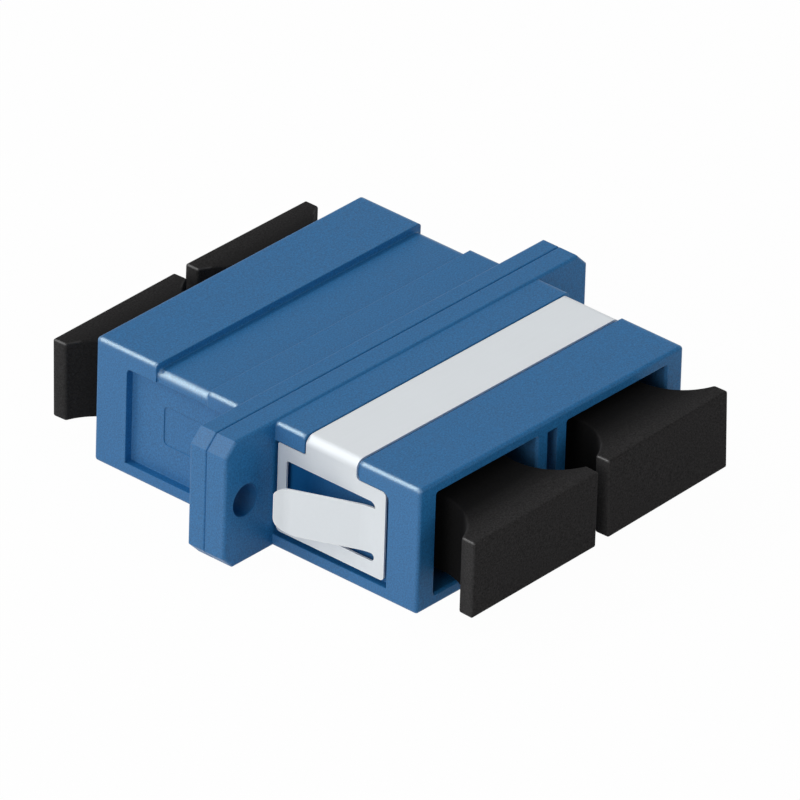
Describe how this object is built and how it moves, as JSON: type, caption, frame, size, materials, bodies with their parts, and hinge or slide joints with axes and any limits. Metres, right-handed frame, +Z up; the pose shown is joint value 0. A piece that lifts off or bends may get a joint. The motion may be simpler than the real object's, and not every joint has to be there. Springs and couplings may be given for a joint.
{
  "type": "duplex fibre optic adapter",
  "caption": "Flanged rectangular adapter housing with side-by-side ports at each end, a folded steel snap clip and pull-out dust plugs.",
  "frame": {"origin": "on the base face, midway along the flange, where the two housing halves meet", "axes": "+X along the flange to the right port, +Y along the fibres to the bare rear half (front mouths at -Y), +Z up from the base"},
  "size_m": [0.0354, 0.037, 0.0094],
  "materials": {
    "blue_housing": "finely spark-eroded moulded surface",
    "spring_steel": "satin rolled sheet",
    "insert_plastic": "smooth moulded surface",
    "zirconia": "ground white ceramic",
    "black_plug": "finely grained moulded surface"
  },
  "bodies": {
    "adapter": {"front_housing": "blue_housing", "rear_housing": "blue_housing", "mounting_clip": "spring_steel", "latch_insert_front_left": "insert_plastic", "latch_insert_front_right": "insert_plastic", "latch_insert_rear_left": "insert_plastic", "latch_insert_rear_right": "insert_plastic", "split_sleeve_left": "zirconia", "split_sleeve_right": "zirconia"},
    "front_left_plug": {"dust_plug_front_left": "black_plug"},
    "front_right_plug": {"dust_plug_front_right": "black_plug"},
    "rear_left_plug": {"dust_plug_rear_left": "black_plug"},
    "rear_right_plug": {"dust_plug_rear_right": "black_plug"}
  },
  "joints": [
    {"name": "front_left_plug_slide", "type": "slide", "parent": "adapter", "child": "front_left_plug", "axis": [0, -1, 0], "range_m": [-0.00086, 0.01129]},
    {"name": "front_right_plug_slide", "type": "slide", "parent": "adapter", "child": "front_right_plug", "axis": [0, -1, 0], "range_m": [-0.00086, 0.01129]},
    {"name": "rear_left_plug_slide", "type": "slide", "parent": "adapter", "child": "rear_left_plug", "axis": [0, 1, 0], "range_m": [-0.0005, 0.01145]},
    {"name": "rear_right_plug_slide", "type": "slide", "parent": "adapter", "child": "rear_right_plug", "axis": [0, 1, 0], "range_m": [-0.0005, 0.01145]}
  ]
}
